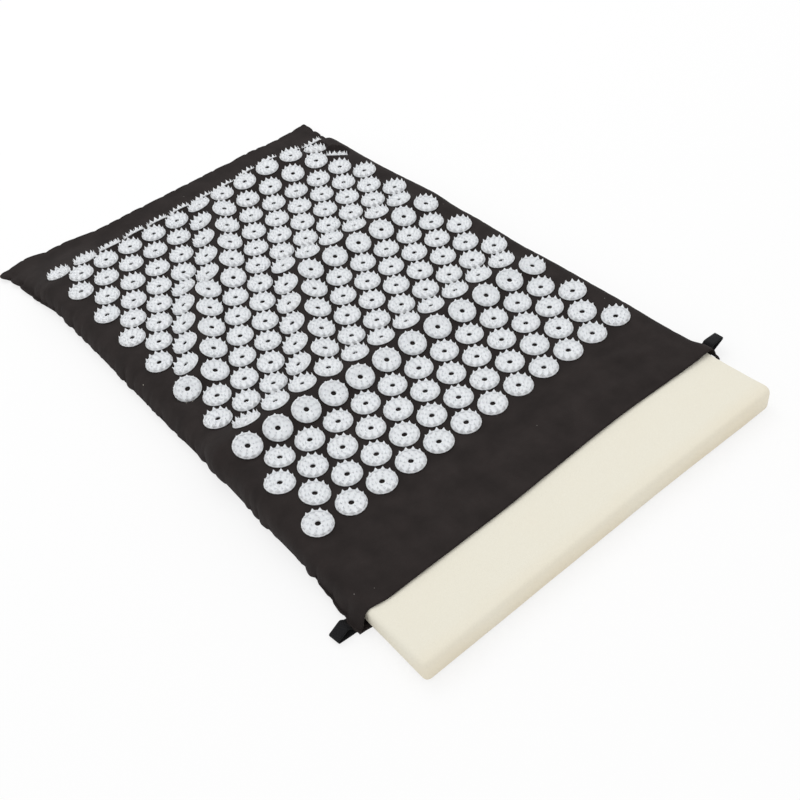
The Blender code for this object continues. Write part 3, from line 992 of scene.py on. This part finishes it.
def seen_directly(tree):
    """1 for what the camera, gloss and glass see, 0 for the light that falls on things."""
    path = node(tree, "ShaderNodeLightPath").outputs
    through = calc(tree, "MAXIMUM", path["Is Glossy Ray"], path["Is Transmission Ray"])
    return calc(tree, "MAXIMUM", path["Is Camera Ray"], through)


def rgba(colour, strength=1.0):
    return tuple(channel * strength for channel in colour) + (1.0,)


def weave(tree, thread):
    """Bumps of a plain weave, over the UV map in metres."""
    flat = node(tree, "ShaderNodeUVMap", uv_map="cloth").outputs["UV"]
    parts = node(tree, "ShaderNodeSeparateXYZ", {0: flat}).outputs
    turn = 2.0 * math.pi / thread
    warp = calc(tree, "SINE", times(tree, parts[0], turn))
    weft = calc(tree, "SINE", times(tree, parts[1], turn))
    return flat, times(tree, warp, weft)


def seam_wrinkles(tree, flat):
    """Fine wrinkles that run in from the side seams, over the UV map in metres."""
    across = node(tree, "ShaderNodeSeparateXYZ", {0: flat}).outputs[0]
    from_middle = calc(tree, "ABSOLUTE", calc(tree, "SUBTRACT", across, CLOTH_HALF))
    by_seam = above(tree, from_middle, CLOTH_HALF - 0.03, CLOTH_HALF - 0.004)
    drawn = node(tree, "ShaderNodeMapping", {"Vector": flat, "Scale": (0.15, 1.0, 1.0)})
    return times(tree, noise_at(tree, drawn.outputs[0], 220.0, 2.0), by_seam)


def cotton_material(colours):
    made, tree, shader = finish("cotton", 0.88)
    flat, threads = weave(tree, 0.0011)
    cloudy = noise_at(tree, flat, 45.0, 3.0)
    slub = noise_at(tree, flat, 900.0, 2.0, 0.7)
    tone = blend(
        tree, spread(tree, cloudy, -0.8, 1.8), rgba(colours.cloth, 0.8), rgba(colours.cloth, 1.26)
    )
    tone = blend(tree, spread(tree, slub, 0.0, 0.5), tone, rgba(colours.cloth, 0.55))
    cells = cells_at(tree, flat, 70.0)
    speck = calc(tree, "LESS_THAN", cells["Distance"], 0.035)
    cell_value = node(tree, "ShaderNodeSeparateColor", {0: cells["Color"]}).outputs[0]
    chosen = calc(tree, "GREATER_THAN", cell_value, 0.8)
    lint = times(tree, speck, chosen)
    soft = bump(tree, noise_at(tree, flat, 130.0, 3.0), 0.001, 0.25)
    gathered = bump(tree, seam_wrinkles(tree, flat), 0.0016, 0.6, soft)
    rough = bump(tree, slub, 0.0003, 0.35, gathered)
    plug(tree, shader, {
        "Base Color": blend(tree, lint, tone, rgba(colours.lint)),
        "Normal": bump(tree, threads, 0.00012, 0.45, rough),
        "Sheen Weight": 0.012, "Sheen Roughness": 0.5, "Specular IOR Level": 0.1,
    })
    return made


def disc_material(colours):
    made, tree, shader = finish("moulded_disc", 0.4)
    place = node(tree, "ShaderNodeTexCoord").outputs["Object"]
    cloudy = noise_at(tree, place, 60.0, 2.0)
    tone = blend(tree, cloudy, rgba(colours.disc, 0.97), rgba(colours.disc, 1.03))
    # Random sparse spots are painted a little darker on the plastic.
    darker_spots = above(tree, noise_at(tree, place, 380.0, 3.0, 0.6), 0.62, 0.8)
    tone = blend(tree, times(tree, darker_spots, 0.25), tone, rgba(colours.disc, 0.86))
    plug(tree, shader, {
        "Base Color": tone,
        "Roughness": spread(tree, noise_at(tree, place, 220.0, 2.0), 0.32, 0.5),
        "Normal": bump(tree, noise_at(tree, place, 1500.0, 2.0), 0.00008, 0.3),
        "Subsurface Weight": 0.6, "Subsurface Scale": 0.003,
        "Subsurface Radius": (1.0, 1.0, 1.0),
    })
    return made


def foam_material(colours):
    made, tree, shader = finish("cut_foam", 0.95)
    place = node(tree, "ShaderNodeTexCoord").outputs["Object"]
    parts = node(tree, "ShaderNodeSeparateXYZ", {0: place}).outputs
    cloudy = noise_at(tree, place, 14.0, 3.0)
    # The near end face and the lower part of the pad are painted in the darker, warmer foam tone:
    # painted shade where less light falls on them. Random patches of the same tone are the foam's
    # own yellowing.
    to_end = above(tree, times(tree, parts[1], -1.0), -PAD_LOW.y - 0.016, -PAD_LOW.y)
    to_foot = above(tree, times(tree, parts[2], -1.0), -PAD_HIGH.z, -PAD_LOW.z)
    painted_end_shade = times(tree, to_end, 0.55)
    painted_foot_shade = times(tree, to_foot, 0.45)
    painted_shade_and_yellowing = times(tree, calc(tree, "ADD", painted_end_shade, painted_foot_shade), cloudy)
    patches = spread(tree, noise_at(tree, place, 25.0, 2.0), -0.06, 0.1)
    painted_shade_and_yellowing = calc(tree, "ADD", painted_shade_and_yellowing, patches, True)
    tone = blend(tree, painted_shade_and_yellowing, rgba(colours.foam), rgba(colours.foam_shade_and_yellowed))
    pores = cells_at(tree, place, 1100.0)["Distance"]
    # The pits of the pores are painted darker: painted shade in the pores.
    tone = blend(tree, spread(tree, pores, 0.12, 0.0), tone, rgba(colours.foam_shade_and_yellowed, 0.85))
    soft = bump(tree, noise_at(tree, place, 240.0, 3.0), 0.0006, 0.25)
    plug(tree, shader, {
        "Base Color": tone, "Specular IOR Level": 0.15,
        "Normal": bump(tree, pores, 0.0004, 0.35, soft),
    })
    return made


def webbing_material(colours):
    made, tree, shader = finish("webbing", 0.7)
    flat, threads = weave(tree, 0.0018)
    tone = blend(
        tree, noise_at(tree, flat, 700.0, 2.0),
        rgba(colours.webbing, 0.7), rgba(colours.webbing, 1.6),
    )
    plug(tree, shader, {
        "Base Color": tone, "Sheen Weight": 0.03, "Specular IOR Level": 0.12,
        "Normal": bump(tree, threads, 0.0003, 0.8),
    })
    return made


def tape_material(colours, name, grain):
    """Hook or loop tape: a field of tiny stubs or fuzz."""
    made, tree, shader = finish(name, 0.92)
    place = node(tree, "ShaderNodeTexCoord").outputs["Object"]
    stubs = cells_at(tree, place, grain)["Distance"]
    plug(tree, shader, {
        "Base Color": blend(tree, stubs, rgba(colours.tape, 1.5), rgba(colours.tape, 0.6)),
        "Normal": bump(tree, stubs, 0.0006, 0.9), "Sheen Weight": 0.3,
    })
    return made


def floor_material(colours):
    """A pale floor that keeps the object's shadow and reads white to the camera."""
    made, tree, shader = finish("floor", 0.9)
    plug(tree, shader, {"Base Color": rgba(colours.floor), "Specular IOR Level": 0.0})
    share = times(tree, seen_directly(tree), FLOOR_WHITE_SHARE)
    white = node(tree, "ShaderNodeEmission", {"Color": WHITE, "Strength": 1.0}).outputs[0]
    mixed = node(tree, "ShaderNodeMixShader", {0: share, 1: shader.outputs["BSDF"], 2: white})
    plug(tree, tree.nodes["Material Output"], {"Surface": mixed.outputs[0]})
    return made


# Stage


def add_world(level):
    """An even dome of light, which the camera, gloss and glass see as plain white."""
    world = bpy.data.worlds.new("studio")
    world.use_nodes = True
    tree = world.node_tree
    more = times(tree, seen_directly(tree), 1.0 - level)
    strength = calc(tree, "ADD", level, more)
    plug(tree, tree.nodes["Background"], {"Color": WHITE, "Strength": strength})
    bpy.context.scene.world = world


def add_lamp(name, place, target, size, power):
    light = bpy.data.lights.new(name, "AREA")
    light.shape = "DISK"
    light.size = size
    light.energy = power
    lamp = placed(name, light)
    lamp.location = place
    lamp.rotation_euler = (target - place).to_track_quat("-Z", "Y").to_euler()


def add_camera():
    lens = bpy.data.cameras.new("camera")
    lens.lens = CAMERA_LENS
    lens.sensor_width = CAMERA_SENSOR
    lens.clip_start = 0.01
    camera = placed("camera", lens)
    aim = (CAMERA_TARGET - CAMERA_PLACE).to_track_quat("-Z", "Y")
    camera.location = CAMERA_PLACE
    camera.rotation_mode = "QUATERNION"
    camera.rotation_quaternion = aim @ Quaternion((0.0, 0.0, 1.0), CAMERA_ROLL)
    bpy.context.scene.camera = camera


# Operators, one for each piece or group of like pieces


def cover_cotton(context):
    """The cover's cotton, made once."""
    return bpy.data.materials.get("cotton") or cotton_material(context.scene.mat_colours)


class MAT_OT_top_cloth(bpy.types.Operator):
    """Lay the top cloth over the pad, with its creases, gathered seams and fallen end"""

    bl_idname = "acupressure_mat.top_cloth"
    bl_label = "Top Cloth"

    def execute(self, context):
        sizes = context.scene.mat_sizes
        seats = disc_seats(sizes.pucker_height)
        cotton = cover_cotton(context)
        piece = new_piece("cover_top_cloth", top_cloth_mesh(sizes, seats), cotton)
        give_thickness(piece, sizes.cloth_thickness, -1.0)
        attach(piece, "cover")
        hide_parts("cover_top_panel", "cover_closed_end")
        return {"FINISHED"}


class MAT_OT_bottom_cloth(bpy.types.Operator):
    """Lay the bottom cloth on the floor and run the sewn welt round three sides"""

    bl_idname = "acupressure_mat.bottom_cloth"
    bl_label = "Bottom Cloth and Welt"

    def execute(self, context):
        sizes = context.scene.mat_sizes
        cotton = cover_cotton(context)
        piece = new_piece("cover_bottom_cloth", bottom_cloth_mesh(sizes), cotton)
        give_thickness(piece, sizes.cloth_thickness, -1.0)
        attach(piece, "cover")
        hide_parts("cover_bottom_panel")
        welt = new_piece("cover_seam_welt", welt_mesh(sizes), cotton)
        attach(welt, "cover")
        return {"FINISHED"}


class MAT_OT_discs(bpy.types.Operator):
    """Set the rows of spike discs on the cloth, each on the plane it holds the cloth to"""

    bl_idname = "acupressure_mat.discs"
    bl_label = "Spike Discs"

    def execute(self, context):
        sizes = context.scene.mat_sizes
        seats = disc_seats(sizes.pucker_height)
        plastic = disc_material(context.scene.mat_colours)
        template = disc_template(sizes)
        rng = random.Random(5)
        for row in range(ROW_COUNT):
            mesh = disc_row_mesh(row, template, seats, rng)
            piece = new_piece(f"spike_discs_row_{row:02d}", mesh, plastic)
            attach(piece, "cover")
            if row < SEPARATE_ROWS:
                names = [f"spike_disc_{row:02d}_{i:02d}" for i in range(len(row_places(row)))]
                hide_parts(*names)
        bpy.data.meshes.remove(template)
        return {"FINISHED"}


class MAT_OT_foam_pad(bpy.types.Operator):
    """Cut the foam pad, with its rounded edges and uneven faces"""

    bl_idname = "acupressure_mat.foam_pad"
    bl_label = "Foam Pad"

    def execute(self, context):
        foam = foam_material(context.scene.mat_colours)
        piece = new_piece("foam_pad_block", foam_mesh(context.scene.mat_sizes), foam)
        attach(piece, "pad")
        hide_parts("foam_pad")
        return {"FINISHED"}


class MAT_OT_webbing(bpy.types.Operator):
    """Bend the two webbing loops at the mouth's corners"""

    bl_idname = "acupressure_mat.webbing"
    bl_label = "Webbing Loops"

    def execute(self, context):
        sizes = context.scene.mat_sizes
        webbing = webbing_material(context.scene.mat_colours)
        for name, side in (("left", -1), ("right", 1)):
            piece = new_piece(f"{name}_loop", webbing_mesh(side, sizes), webbing)
            give_thickness(piece, sizes.webbing_thickness, 0.0)
            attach(piece, "cover")
            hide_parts(f"webbing_loop_{name}")
        return {"FINISHED"}


class MAT_OT_tapes(bpy.types.Operator):
    """Finish the hook and loop tapes sewn inside the mouth"""

    bl_idname = "acupressure_mat.tapes"
    bl_label = "Closure Tapes"

    def execute(self, context):
        colours = context.scene.mat_colours
        for name, grain in (("closure_hook_tape", 900.0), ("closure_loop_tape", 1600.0)):
            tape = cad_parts[name]
            tape.data.materials.clear()
            tape.data.materials.append(tape_material(colours, name, grain))
        return {"FINISHED"}


class MAT_OT_stage(bpy.types.Operator):
    """Set the floor, the soft light and the camera"""

    bl_idname = "acupressure_mat.stage"
    bl_label = "Stage"

    def execute(self, context):
        bm = bmesh.new()
        bmesh.ops.create_grid(bm, x_segments=4, y_segments=4, size=6.0)
        bmesh.ops.translate(bm, vec=(0.0, 0.0, -0.0002), verts=bm.verts)
        floor = new_piece("floor", mesh_of(bm, "floor"), floor_material(context.scene.mat_colours))
        add_world(DOME_LEVEL)
        add_lamp("key", LAMP_PLACE, Vector(), LAMP_SIZE, LAMP_POWER)
        add_camera()
        context.scene.view_settings.view_transform = "Standard"
        return {"FINISHED"}


class MAT_PT_panel(bpy.types.Panel):
    """Every step of the mat, in order"""

    bl_label = "Acupressure Mat"
    bl_idname = "MAT_PT_panel"
    bl_space_type = "VIEW_3D"
    bl_region_type = "UI"
    bl_category = "Acupressure Mat"

    def draw(self, context):
        for step in STEPS:
            self.layout.operator(step.bl_idname)
        for group in (context.scene.mat_sizes, context.scene.mat_colours):
            box = self.layout.box()
            for name in group.__annotations__:
                box.prop(group, name)


STEPS = (
    MAT_OT_stage, MAT_OT_bottom_cloth, MAT_OT_top_cloth, MAT_OT_discs, MAT_OT_foam_pad,
    MAT_OT_webbing, MAT_OT_tapes,
)
CLASSES = (MatSizes, MatColours, *STEPS, MAT_PT_panel)


def register():
    for each in CLASSES:
        bpy.utils.register_class(each)
    bpy.types.Scene.mat_sizes = bpy.props.PointerProperty(type=MatSizes)
    bpy.types.Scene.mat_colours = bpy.props.PointerProperty(type=MatColours)


def unregister():
    del bpy.types.Scene.mat_colours
    del bpy.types.Scene.mat_sizes
    for each in reversed(CLASSES):
        bpy.utils.unregister_class(each)


def main():
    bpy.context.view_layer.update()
    register()
    bpy.ops.acupressure_mat.stage()
    bpy.ops.acupressure_mat.bottom_cloth()
    bpy.ops.acupressure_mat.top_cloth()
    bpy.ops.acupressure_mat.discs()
    bpy.ops.acupressure_mat.foam_pad()
    bpy.ops.acupressure_mat.webbing()
    bpy.ops.acupressure_mat.tapes()


if __name__ == "__main__":
    main()
